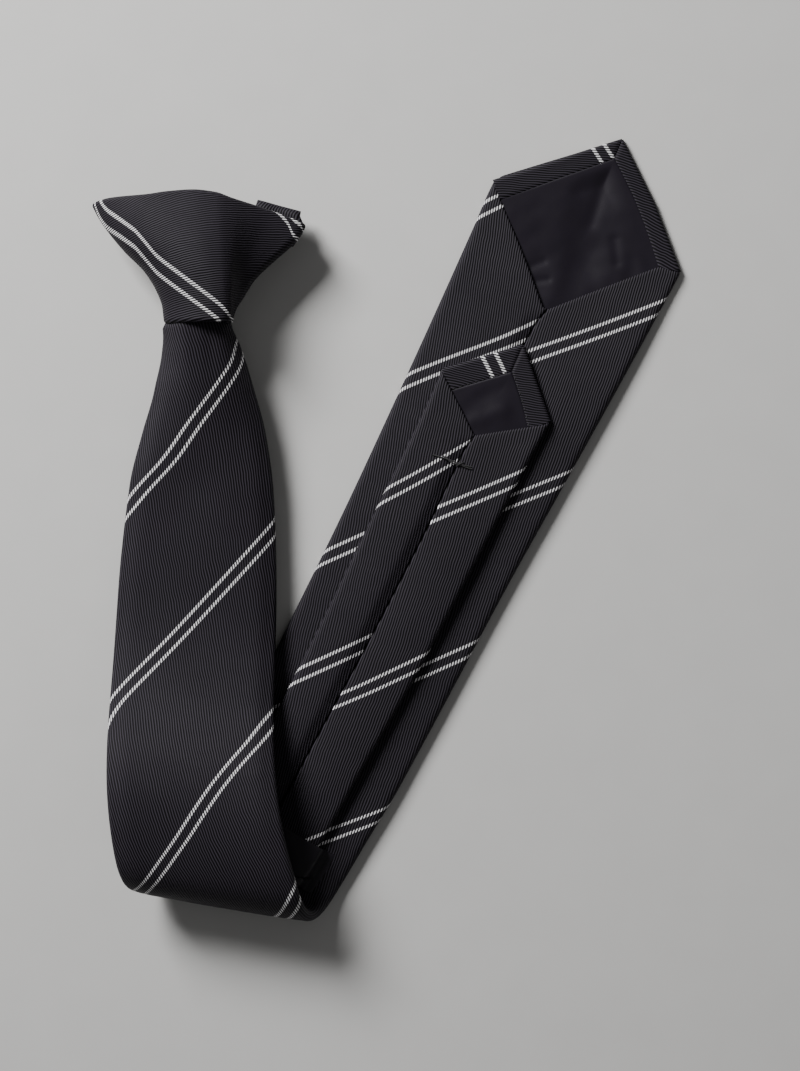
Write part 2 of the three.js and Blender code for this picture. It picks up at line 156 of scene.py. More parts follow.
def place(across, along, out, bend=0.0001):  # from the tie's own flat frame into the row frame, in mm
    at = clamp(along - run["first"], 0, len(path) - 1.001)
    low, part = int(at), at - int(at)
    x, y, heading = [mix(a, b, part) for a, b in zip(path[low], path[low + 1])]
    radius = 1 / bend
    side = (radius + out) * sin(across * bend)
    lift = (radius + out) * cos(across * bend) - radius
    spot = Vector((x + side * cos(heading), y - side * sin(heading)))
    point, outward = profileAt(spot.dot(creaseWay) - run["bendStart"])
    flat = creaseLine * spot.dot(creaseLine) + creaseWay * (run["bendStart"] + point.x + lift * outward.x)
    return Vector((flat.x, flat.y, point.y + lift * outward.y)) - layoutMiddle


# The two blades. Left and right are as seen from the front; thick is over both folded layers.
blade = {
    "columns": 112, "rows": 296, "cloth": 0.55, "edgeRound": 1.0, "lipRound": 0.75, "puff": 0.55,
    "front": 1.9,                        # how far the front stands out from the middle
    "shoulder": 1.0, "lapOver": 0.9,     # how far the front rounds off at its edges, and the seam's overlap
    "tip": (-3.7, -31.2), "leftCorner": (-34.4, -0.7), "rightCorner": (32.0, -2.0), "apex": 28.0,
    "tipBow": [(15.0, -17.4)],           # the tip's right edge bows out through here
    "lip": [(25.2, -0.6)],               # the right flap's lip turns here, between its corner and the apex
    "body": table(
        "along left seam right bend thick", (-31, -34.5, -0.4, 32.4, 0.0001, 2.6),
        (2.8, -34.1, -0.4, 32.2, 0.0001, 2.6), (15, -33.3, -0.4, 31.9, 0.0001, 3.1),
        (27.8, -32.6, -0.5, 31.6, 0.0001, 3.5),
        (70, -30.6, -1.4, 30.2, 0.0001, 3.8), (118, -28.8, -1.2, 28.5, 0.0001, 3.8),
        (150, -28.2, -1.0, 28.0, 0.0001, 3.8), (185, -27.7, -0.6, 27.2, 0.0001, 3.8),
        (207, -27.5, -0.4, 26.2, 0.0001, 3.8), (247, -27.3, 0, 26.6, 0.001, 3.8),
        (290, -26.8, 0, 26.2, 0.001, 3.8), (323, -26.1, 0, 25.5, 0.002, 3.8),
        (355, -25.8, 0, 24.6, 0.003, 3.8), (387, -24.0, 0, 22.3, 0.007, 3.8),
        (405, -20.9, 0, 19.4, 0.018, 3.8), (419, -17.3, 0, 16.3, 0.036, 3.8),
        (431, -15.4, 0, 14.6, 0.074, 3.8), (437, -13.8, 0, 12.2, 0.085, 3.8),
        (440.3, -12.4, 0, 11.2, 0.079, 3.8), (442.6, -9.4, 0, 9.4, 0.14, 3.8),
        (456, -9.3, 0, 9.3, 0.149, 3.8)),
    # How far the woven pattern has slipped along the cloth, at the seam's two sides and at the two edges.
    "slip": table(
        "along leftSeam leftEdge rightEdge rightSeam", (-30, -21, -21, -5.5, -5.5), (8, -19.5, -19.5, 1.9, 4),
        (40, -19.5, -16.5, 1.5, 4.8), (70, -15, -13.6, 0.7, 1.5), (85, -13.5, -12.6, 0.3, 0.5),
        (120, -10.6, -11, -0.7, -0.5), (150, -9.5, -9.6, -0.8, -1.9), (200, -7, -7, 0.6, -1),
        (240, -8, -8, 3.8, 3), (262, -6, -6, 3, 3), (270, -2, -2, 3, 3), (279, 1.5, 1.5, 3, 3),
        (290, 2.6, 2.6, 3, 3), (304, 2.4, 2.4, 3.2, 3.2), (319, -1, -1, 1.0, 1.0),
        (345, 0.2, 0.2, 0.2, 0.2), (378, 0.7, 0.7, 0.3, 0.3), (386, 0.5, 0.5, 0, 0),
        (395, 1.2, 1.2, -0.8, -0.8), (410, -0.9, -0.9, -2.9, -2.9), (426, -1.8, -1.8, -2.8, -2.8),
        (432, -4.6, -4.6, -4.6, -4.6)),
    # Shallow dents and swells of the front: where, how wide each way, and how high. None nears an edge.
    "dentsWithin": 26,
    "dents": table(
        "across along wide long rise", (-3, 392, 9, 12, -0.7), (10, 372, 12, 16, 0.3),
        (-14, 420, 5, 16, -0.5), (-4, 438, 2.2, 14, 0.45), (3, 436, 2.0, 12, -0.4), (8, 436, 2.4, 12, 0.35),
        (-9, 440, 2.0, 12, -0.35), (13, 412, 5, 14, -0.35), (-18, 350, 8, 26, -0.25),
        (6, 318, 16, 22, 0.3), (-8, 282, 14, 20, -0.25)),
}
tail = {
    "columns": 96, "rows": 240, "cloth": 0.5, "edgeRound": 0.8, "lipRound": 0.65, "puff": 0.4,
    "front": 1.7, "shoulder": 0, "lapOver": 0.8,
    "tip": (-2.0, 42.1), "leftCorner": (-21.5, 60.6), "rightCorner": (16.8, 59.8), "apex": 74.3,
    "tipBow": [], "lip": [],
    # As the blade's, and how far the tail's middle lies behind the blade's.
    "body": table(
        "along left seam right bend thick sink", (42, -21.6, -2.6, 17.0, 0.0001, 2.6, 3.95),
        (60.6, -21.4, -2.6, 16.9, 0.0001, 2.7, 3.95), (74.7, -20.7, -2.6, 16.5, 0.0001, 3.1, 3.95),
        (115, -19.9, -1.7, 16.1, 0.0001, 3.4, 3.95), (145, -19.2, -1.8, 15.8, 0.0001, 3.4, 3.95),
        (197, -18.6, -2.8, 13.8, 0.0001, 3.4, 3.95), (247, -17.6, -2.2, 13.6, 0.001, 3.4, 4.3),
        (290, -16.0, -1.0, 14.2, 0.004, 3.4, 4.2), (323, -15.0, 0, 14.4, 0.008, 3.4, 4.1),
        (355, -14.2, 0, 14.2, 0.012, 3.4, 3.95), (387, -12.8, 0, 12.8, 0.02, 3.4, 4.4),
        (405, -11.4, 0, 11.4, 0.026, 3.4, 5.1), (419, -9.4, 0, 9.4, 0.03, 3.4, 6.1),
        (431, -7.0, 0, 7.0, 0.03, 3.4, 7.0), (437, -5.4, 0, 5.4, 0.03, 3.4, 7.4),
        (441, -4.4, 0, 4.4, 0.03, 3.4, 7.4), (452, -4.0, 0, 4.0, 0.03, 3.4, 7.4)),
    "slip": table(
        "along leftSeam leftEdge rightEdge rightSeam", (45, 30.5, 30, 42, 42), (75, 30.5, 27, 39.4, 39.4),
        (100, 29, 26.6, 39, 39.4), (145, 27.3, 27.3, 35.7, 35.7), (165, 27.3, 27.3, 34, 33),
        (200, 28, 28, 32, 32), (300, 30, 30, 30, 30)),
}
# What both blades share.
section = {
    "frontColumns": 0.4, "edgeColumns": 0.56, "flapColumns": 0.93,   # where these end, of the half's columns
    "lipWide": 1.4,                      # the last columns lie closer together
    "firstRow": 0.02, "tipWide": 1.2,    # and so does the first row at the tip
    "shoulderWide": 5.5,                 # the front rounds off this near its edges
    "shoulderFrom": 235, "shoulderGrows": 60, "shoulderEnd": 450, "shoulderFades": 40,
    "lapGrows": 6, "closes": 12, "puffGrows": 40,   # over these lengths from the apex
    "under": 1.05, "underWide": 4.5,     # the left flap runs under the right one at the seam
    "over": 0.1, "overWide": 3, "overLip": 0.3,
    "wave": 0.22, "waveAcross": 21, "waveAlong": 34,
    "straightens": 45,                   # past the apex the mesh's rows run straight across
    "square": 0.72,                      # of a distance along the tie, the share square to the tip's edges
}


def bodyAt(spec, along):
    row = {"sink": 0.0}
    row |= {key: valueAt(spec["body"], key, along) for key in spec["body"] if key != "along"}
    row["round"] = row["thick"] / 2
    row["ends"] = {}
    for side, edge in ((-1, -row["left"]), (1, row["right"])):
        flat = edge - row["round"]
        turned = flat + pi * row["round"]
        lap = spec["lapOver"] * soft((along - spec["apex"]) / section["lapGrows"])
        row["ends"][side] = (flat, turned, turned + flat - side * row["seam"] + side * lap)
    return row


def tipFront(spec):  # how far out the front's face lies towards the tip
    return spec["front"] - bodyAt(spec, spec["tip"][1])["sink"]


def tipBack(spec):
    return tipFront(spec) - 2 * spec["front"]


def acrossCloth(row, column):  # the column, -1 to 1 from lip to lip, as a distance across the cloth laid flat
    side = 1 if column > 0 else -1
    flat, turned, end = row["ends"][side]
    spread = table(
        "part at", (0, 0), (section["frontColumns"], flat), (section["edgeColumns"], turned),
        (section["flapColumns"], end - section["lipWide"]), (1, end))
    return valueAt(spread, "at", abs(column), False) * side


def bladePoint(spec, u, v, dropFrom):  # a point of the cloth laid flat, wrapped round the blade's section
    row = bodyAt(spec, v)
    side = 1 if u > 0 else -1
    flat, turned, end = row["ends"][side]
    r, s = row["round"], abs(u)
    shoulder = spec["shoulder"] * soft((v - section["shoulderFrom"]) / section["shoulderGrows"])
    shoulder *= soft((section["shoulderEnd"] - v) / section["shoulderFades"])
    if s <= flat:
        across, inAcross, inDepth, lipRound = s, 0.0, 1.0, spec["edgeRound"]
        depth = shoulder * clamp(1 - (flat - s) / section["shoulderWide"]) ** 2
    elif s <= turned:
        angle = (s - flat) / r
        across, inAcross, inDepth = flat + r * sin(angle), -sin(angle), cos(angle)
        depth = shoulder + (r - shoulder / 2) * (1 - cos(angle))
        lipRound = mix(spec["edgeRound"], spec["lipRound"], angle / pi)
    else:
        across, inAcross, inDepth, lipRound = flat - (s - turned), 0.0, -1.0, spec["lipRound"]
        part = clamp((s - turned) / (end - turned))
        closed = soft((v - spec["apex"]) / section["closes"])
        depth = row["thick"] + spec["puff"] * sin(pi * part) * soft((v - spec["apex"]) / section["puffGrows"])
        if side < 0:
            depth -= section["under"] * closed * soft(1 - (end - s) / section["underWide"])
        else:
            depth -= section["over"] * soft(1 - (end - s) / section["overWide"])
            lipRound = mix(lipRound, section["overLip"], closed)
    edge = min(dropFrom, (end - s) * 0.9) if s > turned else dropFrom
    if edge < lipRound:
        drop = lipRound - sqrt(max(lipRound ** 2 - (lipRound - max(edge, 0)) ** 2, 0))
        across += inAcross * drop
        depth += inDepth * drop
    spot = Vector((u / section["waveAcross"], v / section["waveAlong"], spec["front"]))
    depth -= noise.noise(spot) * section["wave"] * soft((s - 2) / 20 + 0.4)
    return place(side * across, v, spec["front"] - depth - row["sink"], row["bend"])


def boundary(spec):  # where the cloth starts along the tie, by its flat distance across
    corner = bodyAt(spec, spec["rightCorner"][1])
    apex = bodyAt(spec, spec["apex"])
    flip = {side: corner["ends"][side][0] + corner["ends"][side][1] for side in (-1, 1)}
    half = corner["round"] * (pi / 2 - 1)
    tipEdge = [spec["leftCorner"], spec["tip"], *spec["tipBow"], spec["rightCorner"]]

    def whereRounded(a, b):  # the edge stays straight in the picture where the cloth starts to round off
        return Vector(a).lerp(Vector(b), corner["round"] / abs(b[0] - a[0]))

    points = [(-apex["ends"][-1][2], spec["apex"]), (tipEdge[0][0] - half, tipEdge[0][1])]
    points += [whereRounded(*tipEdge[:2]), *tipEdge[1:-1], whereRounded(*tipEdge[:-3:-1])]
    points += [(tipEdge[-1][0] + half, tipEdge[-1][1])]
    points += [(flip[1] - across, along) for across, along in spec["lip"]]
    points += [(apex["ends"][1][2], spec["apex"])]
    return table("u start", *points)


def slipped(spec, u, v):  # the place in the woven pattern that came to lie at this point of the flat cloth
    row = bodyAt(spec, v)
    side, edgeName, seamName = (1, "rightEdge", "rightSeam") if u > 0 else (-1, "leftEdge", "leftSeam")
    flat, turned, end = row["ends"][side]
    left, right = -sum(row["ends"][-1][:2]) / 2, sum(row["ends"][1][:2]) / 2
    if left <= u <= right:
        ends = [valueAt(spec["slip"], name, v) for name in ("leftEdge", "rightEdge")]
        return u, v + mix(*ends, (u - left) / (right - left))
    edge = (flat + turned) / 2
    return u, v + mix(valueAt(spec["slip"], edgeName, v), valueAt(spec["slip"], seamName, v),
                      clamp((abs(u) - edge) / (end - edge)))


# A grid of cloth: flatAt gives a place on the cloth laid flat and what else pointAt needs, pointAt where that
# lies in the frame, and patternAt which place in the woven pattern lies there, if it isn't the same one.
def clothSheet(name, spec, flatAt, pointAt, outward=True, patternAt=None):
    bm = bmesh.new()
    bmesh.ops.create_grid(bm, x_segments=spec["columns"], y_segments=spec["rows"], size=0.5)
    cloth = bm.loops.layers.uv.new("Cloth")
    flat = {vert: flatAt(vert.co.x + 0.5, vert.co.y + 0.5) for vert in bm.verts}
    pattern = {vert: patternAt(*spot[:2]) if patternAt else spot[:2] for vert, spot in flat.items()}
    for face in bm.faces:
        for loop in face.loops:
            loop[cloth].uv = pattern[loop.vert]
    points = {vert: pointAt(*flat[vert]) * mm for vert in bm.verts}
    for vert in bm.verts:
        vert.co = (*flat[vert][:2], 0)
    area = sum(face.calc_area() for face in bm.faces) * mm * mm
    wide, long = [max(vert.co[k] for vert in bm.verts) - min(vert.co[k] for vert in bm.verts) for k in (0, 1)]
    for vert in bm.verts:
        vert.co = points[vert]
    if not outward:
        bmesh.ops.reverse_faces(bm, faces=bm.faces)
    if spec.get("closed"):
        bmesh.ops.remove_doubles(bm, verts=bm.verts, dist=0.02 * mm)
    return finishPiece(name, bm, spec), (wide * mm, long * mm), area


def finishPiece(name, bm, spec):
    mesh = bpy.data.meshes.new(name)
    bm.to_mesh(mesh)
    bm.free()
    mesh.shade_smooth()
    piece = bpy.data.objects.new(name, mesh)
    bpy.context.collection.objects.link(piece)
    if spec.get("cloth"):
        wall = piece.modifiers.new("Cloth thickness", "SOLIDIFY")
        wall.thickness = spec["cloth"] * mm
        wall.offset = -1
        wall.use_even_offset = False
    return piece


def bladeCloth(name, spec):
    start = boundary(spec)
    lowest = spec["tip"][1]
    last = spec["body"]["along"][-1]
    shearEnd = spec["apex"] + section["straightens"]
    rows = table("part along", (0, lowest), (section["firstRow"], lowest + section["tipWide"]), (1, last))
    reference = bodyAt(spec, (spec["leftCorner"][1] + spec["apex"]) / 2)

    def flatAt(x, y):
        column = 2 * x - 1
        plain = valueAt(rows, "along", y, False)
        first = valueAt(start, "start", acrossCloth(reference, column), False)
        v = plain + (first - lowest) * (1 - clamp((plain - lowest) / (shearEnd - lowest)))
        u = acrossCloth(bodyAt(spec, v), column)
        return u, v, (v - first) * section["square"]

    def pointAt(u, v, edge):
        point = bladePoint(spec, u, v, edge)
        if "dents" in spec and abs(u) < spec["dentsWithin"]:
            point.z += sum(rise * hill(u - across, wide) * hill(v - along, long)
                           for across, along, wide, long, rise in zip(*spec["dents"].values()))
        return point

    return clothSheet(name, spec, flatAt, pointAt, patternAt=lambda u, v: slipped(spec, u, v))


# The weave: diagonal ribs, and pairs of thin lines, by their directions from straight across the tie's front.
twill = {
    "ribPitch": 0.8, "ribAngle": radians(102),   # a little coarser than the real ribs, so that they show
    "stripeAngle": radians(51), "pairPitch": 39.52, "pairGap": 3.5, "line": 0.95,
    "phase": 21.3,                       # where a pair's middle lies, square across the stripes
    "lineSoft": 0.12,
    "ribTop": (0.42, 0.6), "ribShade": (0.35, 0.9),   # where a line shows, and where the painted shade of the grooves gives way to the rib's own colour, by its height
    "loose": 1.3, "looseScale": 0.12,    # how far the ribs wander, in pitches
    "worn": (0.85, 1.15), "wornScale": 0.05,
    # The groove colour is painted shade, near black, for the hollows between the ribs; the rib colour is the
    # cloth's own, on the rib tops.
    "grooveShade": "#060507", "rib": "#38343c", "stripe": "#fbf9fb", "relief": 0.22,
}

print("Blades")
bladePiece, bladeFlat, bladeArea = bladeCloth("blade_cloth", blade)
tailPiece, tailFlat, tailArea = bladeCloth("tail_cloth", tail)

print("Hems, linings and keeper")
# The hems at the tips, folded over the front's two sloping edges and mitred. Each inner edge, as seen in the
# tie's own frame from the mitre outwards, runs on under the lining. The cloth was pulled askew as it was
# folded, so the pattern is turned about a point of the hem, and shifted.
hemCut = {
    "columns": 72, "rows": 18, "cloth": 0.4, "edgeRows": 0.35,
    "tuck": 2.2, "pressed": 0.6, "pressedWide": 0.9,   # what runs on, pressed in under the lining
    "mitre": 0.4, "mitreWide": 0.9,                    # the groove where the two hems meet
}
hems = {
    "blade_hem_left": {
        "of": blade, "outer": [blade["tip"], blade["leftCorner"]], "inner": [(-3.2, -24.9), (-30.9, 4.3)],
        "turn": radians(-14), "about": (-8.25, -24.1), "shift": (0, 0)},
    "blade_hem_right": {
        "of": blade, "outer": [blade["tip"], *blade["tipBow"], blade["rightCorner"]],
        "inner": [(-3.2, -24.9), (7.5, -17.3), (14.8, -10.9), (26.3, 0.1)],
        "turn": radians(18), "about": (12.0, -14.0), "shift": (-2.2, 3.3)},
    "tail_hem_left": {
        "of": tail, "outer": [tail["tip"], tail["leftCorner"]], "inner": [(-1.4, 51.1), (-16.6, 65.7)],
        "turn": radians(-8), "about": (-6.0, 50.0), "shift": (0.8, -0.4)},
    "tail_hem_right": {
        "of": tail, "outer": [tail["tip"], tail["rightCorner"]], "inner": [(-1.4, 51.1), (12.2, 65.2)],
        "turn": radians(-6), "about": (8.0, 54.0), "shift": (0, 0)},
}


def alongLine(points, part):
    lengths = [(Vector(b) - Vector(a)).length for a, b in zip(points, points[1:])]
    rest = part * sum(lengths)
    for a, b, length in zip(points, points[1:], lengths):
        if rest <= length or b is points[-1]:
            return Vector(a).lerp(Vector(b), rest / length)
        rest -= length


def hemCloth(name, spec):
    owner = spec["of"]
    front = tipFront(owner)
    r = owner["edgeRound"]
    quarter = pi / 2 * r
    edge = Vector(spec["outer"][-1]) - Vector(spec["outer"][0])
    edgeWay = edge.normalized()

    def unfolded(spot, over):  # where a point that lies over from this spot was before the hem was folded
        return spot + 2 * over.dot(edgeWay) * edgeWay - over

    tip = Vector(spec["outer"][0])
    pivot = Vector(slipped(owner, *unfolded(tip, Vector(spec["about"]) - tip)))

    def patternAt(u, v):
        askew = Vector(slipped(owner, u, v)) - pivot
        return pivot + Matrix.Rotation(spec["turn"], 2) @ askew - Vector(spec["shift"])

    def flatAt(x, y):
        outer, inner = alongLine(spec["outer"], x), alongLine(spec["inner"], x)
        wide = (inner - outer).length
        inward = (inner - outer).normalized()
        end = quarter + max(wide - r, 0.2) + hemCut["tuck"]
        spread = table("part at", (0, 0), (hemCut["edgeRows"], quarter), (1, end))
        s = valueAt(spread, "at", y, False)
        return *unfolded(outer, inward * s), x, s

    def pointAt(u, v, x, s):
        outer, inner = alongLine(spec["outer"], x), alongLine(spec["inner"], x)
        inward = (inner - outer).normalized()
        angle = min(s / r, pi / 2)
        reach = r * (1 - cos(angle)) + max(s - quarter, 0)
        tucked = hemCut["pressed"] * soft((reach - (inner - outer).length) / hemCut["pressedWide"])
        mitre = hemCut["mitre"] * hill(x * edge.length, hemCut["mitreWide"])
        spot = outer + inward * reach
        return place(spot.x, spot.y, front - r - r * sin(angle) + tucked + mitre)

    return clothSheet(name, hemCut, flatAt, pointAt, edge.x > 0, patternAt)


hemPieces = {name: hemCloth(name, spec) for name, spec in hems.items()}

# The satin panels behind the tips, by their corners: left, at the mitre, right, under the apex.
panelCut = {
    "edgeDown": 0.45, "edgeWide": 0.8,   # the edges round off
    "dip": 0.35, "dipFrom": 0.35,        # how deep the middle lies
    "calm": 1.5, "calmWide": 6,          # nothing creases this near an edge
    "broad": 0.35, "broadAcross": 13, "broadAlong": 15, "fine": 0.1, "fineAcross": 5, "fineAlong": 6,
}
linings = {
    "blade_lining": {
        "left": (-31.2, 4.6), "mitre": (-3.2, -25.0), "right": (26.5, 0.1), "apex": (-0.4, 32.0),
        "columns": 110, "rows": 110, "cloth": 0.35, "of": blade, "bow": 1.1, "top": 2.3,
        "folds": table(  # each soft fold's two ends, its half width, and how high it stands
            "a along b end wide rise", (-3.4, -19, 1.8, 9, 7.5, -1.0), (-3.6, -20, -0.4, -3, 1.9, -0.22),
            (-9.5, -15, -9, -11, 3.0, -0.3), (8.8, -1.5, 12.6, 4.5, 1.7, -0.28),
            (-12, 19, -8.5, 15, 1.4, -0.22), (-9, 22.5, -4.5, 19.5, 1.3, -0.22),
            (-3, 9, -1.5, 24, 4.0, 0.3), (17, 2, 19, 7, 2.5, -0.2))},
    "tail_lining": {
        "left": (-17.1, 66.0), "mitre": (-1.4, 51.0), "right": (12.6, 65.6), "apex": (-2.6, 79.0),
        "columns": 60, "rows": 60, "cloth": 0.35, "of": tail, "bow": 0.4, "top": 2.15,
        "folds": table(
            "a along b end wide rise", (-3, 56, -8, 62, 3.0, -0.35), (2, 63, -5, 71, 2.6, 0.3),
            (5, 58, 8, 63, 2.2, -0.2))},
}


def nearest(a, b, spot):  # the point of the line from a to b nearest to spot
    return a.lerp(b, clamp((spot - a).dot(b - a) / (b - a).length_squared))


def bowed(spec, x):  # how far the panel's right edge bows out, x along it
    return Vector((1, -1)).normalized() * spec["bow"] * 4 * x * (1 - x)


def liningCloth(name, spec):
    top = tipFront(spec["of"]) - spec["top"]
    left, mitre, right, apex = [Vector(spec[key]) for key in ("left", "mitre", "right", "apex")]
    size = (right - mitre).length

    def flatAt(x, y):  # x from the mitre to the right corner, y from there down to the apex
        spot = mitre.lerp(right, x).lerp(left.lerp(apex, x), y) + bowed(spec, x) * (1 - y)
        return spot.x, spot.y, x, y

    def pointAt(u, v, x, y):
        edge = min(x, y) * size
        rounded = panelCut["edgeDown"] * (1 - sqrt(1 - (1 - clamp(edge / panelCut["edgeWide"])) ** 2))
        broad = Vector((u / panelCut["broadAcross"], v / panelCut["broadAlong"], size))
        fine = Vector((u / panelCut["fineAcross"], v / panelCut["fineAlong"], 3))
        crease = noise.noise(broad) * panelCut["broad"] + noise.noise(fine) * panelCut["fine"]
        spot = Vector((u, v))
        for a, along, b, end, wide, rise in zip(*spec["folds"].values()):
            away = spot - nearest(Vector((a, along)), Vector((b, end)), spot)
            crease += rise * hill(away.length, wide)
        lie = crease * soft((edge - panelCut["calm"]) / panelCut["calmWide"])
        lie -= panelCut["dip"] * soft(max(x, y) - panelCut["dipFrom"])
        return place(u, v, top - lie + rounded)

    return clothSheet(name, spec, flatAt, pointAt, False)


liningPieces = {name: liningCloth(name, spec) for name, spec in linings.items()}

# The satin keeper band over the tail, by its course across: over is 0 on the blade and 1 on the tail.
keeper = {
    "from": 212.6, "to": 227.9, "columns": 96, "rows": 24, "cloth": 0.45,
    "lift": 0.55, "slack": 0.15,         # how far it stands off the cloth, and how much more over the tail
    "sewn": 0.5, "sewnWide": 1.1, "wave": 0.22, "waveAcross": 7, "waveAlong": 9,
    "course": table(
        "across over", (-24.5, 0), (-21.5, 0.02), (-19.0, 0.95), (-8, 1.1), (4, 1.12), (14.4, 0.98),
        (17.2, 0.04), (20.4, 0)),
}


def keeperBand():
    low = tipBack(blade) - keeper["lift"]
    high = tipBack(tail) - keeper["lift"] - keeper["slack"]
    first, last = [keeper["course"]["across"][end] for end in (0, -1)]

    def flatAt(x, y):
        return mix(first, last, x), mix(keeper["from"], keeper["to"], y)

    def pointAt(u, v):
        out = mix(low, high, valueAt(keeper["course"], "over", u))
        out += keeper["sewn"] * (1 - soft(min(u - first, last - u) / keeper["sewnWide"]))
        out += noise.noise(Vector((u / keeper["waveAcross"], v / keeper["waveAlong"], 5))) * keeper["wave"]
        return place(u, v, out, valueAt(blade["body"], "bend", v))

    return clothSheet("keeper_band", keeper, flatAt, pointAt, False)


keeperPiece, keeperFlat, keeperArea = keeperBand()

# The knot: a hollow wrap from its mouth up to its rim, rolled in at both.
print("Knot")
knot = {
    "columns": 176, "rows": 96, "cloth": 0.6, "closed": True,   # its ends meet down the middle of the back
    "mouth": 67.9, "ridge": -53.2, "ridgePart": 0.45, "ridgeMost": 0.97,
    "edgeRound": 0.06, "warpWide": 0.08, "backRound": 0.7, "wave": 0.25, "waveWide": 13,
    "rimRoll": 1.5, "rimFlat": 0.55, "mouthRoll": 0.6,
    "innerPart": 0.45, "innerCloth": 18, "tuckDown": 3.0, "tuckCloth": 2.0,   # what runs on inside
    # From the mouth, 0, to the rim, 1: the edges, the middle's height, and how far front and back stand out.
    "levels": table(
        "level left right middle front back", (0, -73.9, -53.3, 13.5, 9.0, 8.3),
        (0.12, -74.4, -52.2, 13.6, 9.8, 8.2), (0.25, -76.1, -49.8, 13.6, 10.6, 8.0),
        (0.43, -80.1, -46.4, 13.5, 11.4, 7.7), (0.6, -86.2, -41.4, 13.2, 11.6, 7.3),
        (0.75, -90.8, -36.3, 12.9, 11.0, 6.7), (0.88, -94.2, -32.3, 12.6, 10.2, 6.0),
        (1, -96.5, -30.4, 12.3, 9.2, 5.4)),
    "rim": table(
        "across top", (-1, 104.0), (-0.85, 104.9), (-0.5, 105.6), (-0.3, 106.4), (-0.04, 106.9),
        (0.17, 106.2), (0.34, 104.4), (0.55, 102.5), (0.78, 100.1), (1, 97.5)),
    # The section of the front from edge to edge; 0.45 is the ridge, past which it falls to the right wing.
    "section": table(
        "across rise", (-1, 0.1), (-0.9, 0.34), (-0.7, 0.6), (-0.45, 0.82), (-0.15, 0.96), (0.1, 1.0),
        (0.32, 0.97), (0.45, 0.86), (0.58, 0.62), (0.72, 0.4), (0.86, 0.26), (1, 0.14)),
    # How the ribs rise across the knot, and how the cloth stretches across it, by the layout's x.
    "runFrom": -100.0, "runTo": -28.0, "runStep": 0.25,
    "clothRun": table(
        "x rib stretch", (-100, 0.55, 3.0), (-95.3, 0.55, 3.0), (-94.2, 0.55, 2.0), (-92.5, 0.55, 1.5),
        (-91, 0.55, 1.12), (-83.5, 0.5, 1.12), (-82, 0.49, 1.45), (-77, 0.42, 1.45), (-75.5, 0.38, 1.1),
        (-72, 0.32, 0.98), (-66, 0.19, 0.85), (-60, 0.13, 0.8), (-56, 0.08, 0.86), (-54.2, 0.06, 1.5),
        (-53, 0.05, 2.0), (-52, 0.04, 1.5), (-47, 0.03, 1.1), (-43, 0.02, 0.85), (-40, 0.01, 0.85),
        (-38, 0, 1.0), (-36.5, -0.01, 1.0), (-35.2, -0.02, 1.5), (-34.8, -0.02, 2.4), (-34.3, -0.02, 2.4),
        (-33.8, -0.03, 0.7), (-32, -0.04, 0.6), (-31.4, -0.05, 2.5), (-30, -0.05, 2.9)),
    "ribSqueeze": 1.1, "pairAt": (-74.9, 84.3),   # the middle of a pair of stripes passes through this point
}


def knotRun():  # running totals of the rib's rise and the stretch
    rise, length, rows = 0.0, 0.0, []
    x = knot["runFrom"]
    while x <= knot["runTo"]:
        rows.append((x, rise, length))
        rise += valueAt(knot["clothRun"], "rib", x, False) * knot["runStep"]
        length += valueAt(knot["clothRun"], "stretch", x, False) * knot["runStep"]
        x += knot["runStep"]
    return table("x rise length", *rows)


knotTotals = knotRun()


def knotSpot(level, column, inset):  # columns run from the back's middle, by the left edge, once round
    read = {key: valueAt(knot["levels"], key, level) for key in knot["levels"] if key != "level"}
    half = (read["right"] - read["left"]) / 2
    centre = (read["right"] + read["left"]) / 2
    front = 0.25 <= column <= 0.75
    if front:
        ridge = clamp((knot["ridge"] - centre) / half, -1, knot["ridgeMost"])
        mark = knot["ridgePart"]
        swing = -cos((column - 0.25) / 0.5 * pi)
        warp = mix(-1, ridge, (swing + 1) / (mark + 1))
        if swing >= mark:
            warp = mix(ridge, 1, (swing - mark) / (1 - mark))
        across = mix(swing, warp, soft((1 - abs(swing)) / knot["warpWide"]))
        pastEdge = max(abs(swing) - 1 + knot["edgeRound"], 0) / knot["edgeRound"]
        rounding = sqrt(max(1 - pastEdge ** 2, 0))
        lift = valueAt(knot["section"], "rise", swing) * rounding * (read["front"] - inset)
    else:
        angle = (column + 0.25) % 1 / 0.5 * pi
        across = cos(angle)
        lift = -sin(angle) ** knot["backRound"] * (read["back"] - inset)
    top = valueAt(knot["rim"], "top", across)
    x = centre + across * (half - inset)
    return Vector((x, mix(knot["mouth"], top, level), read["middle"] + lift)), front


def onPattern(length, across):  # along and across the ribs from a pair's middle, in the cloth's own frame
    turn = twill["ribAngle"]
    return (length * cos(turn) - across * sin(turn),
            length * sin(turn) + across * cos(turn) + twill["phase"] / cos(twill["stripeAngle"]))


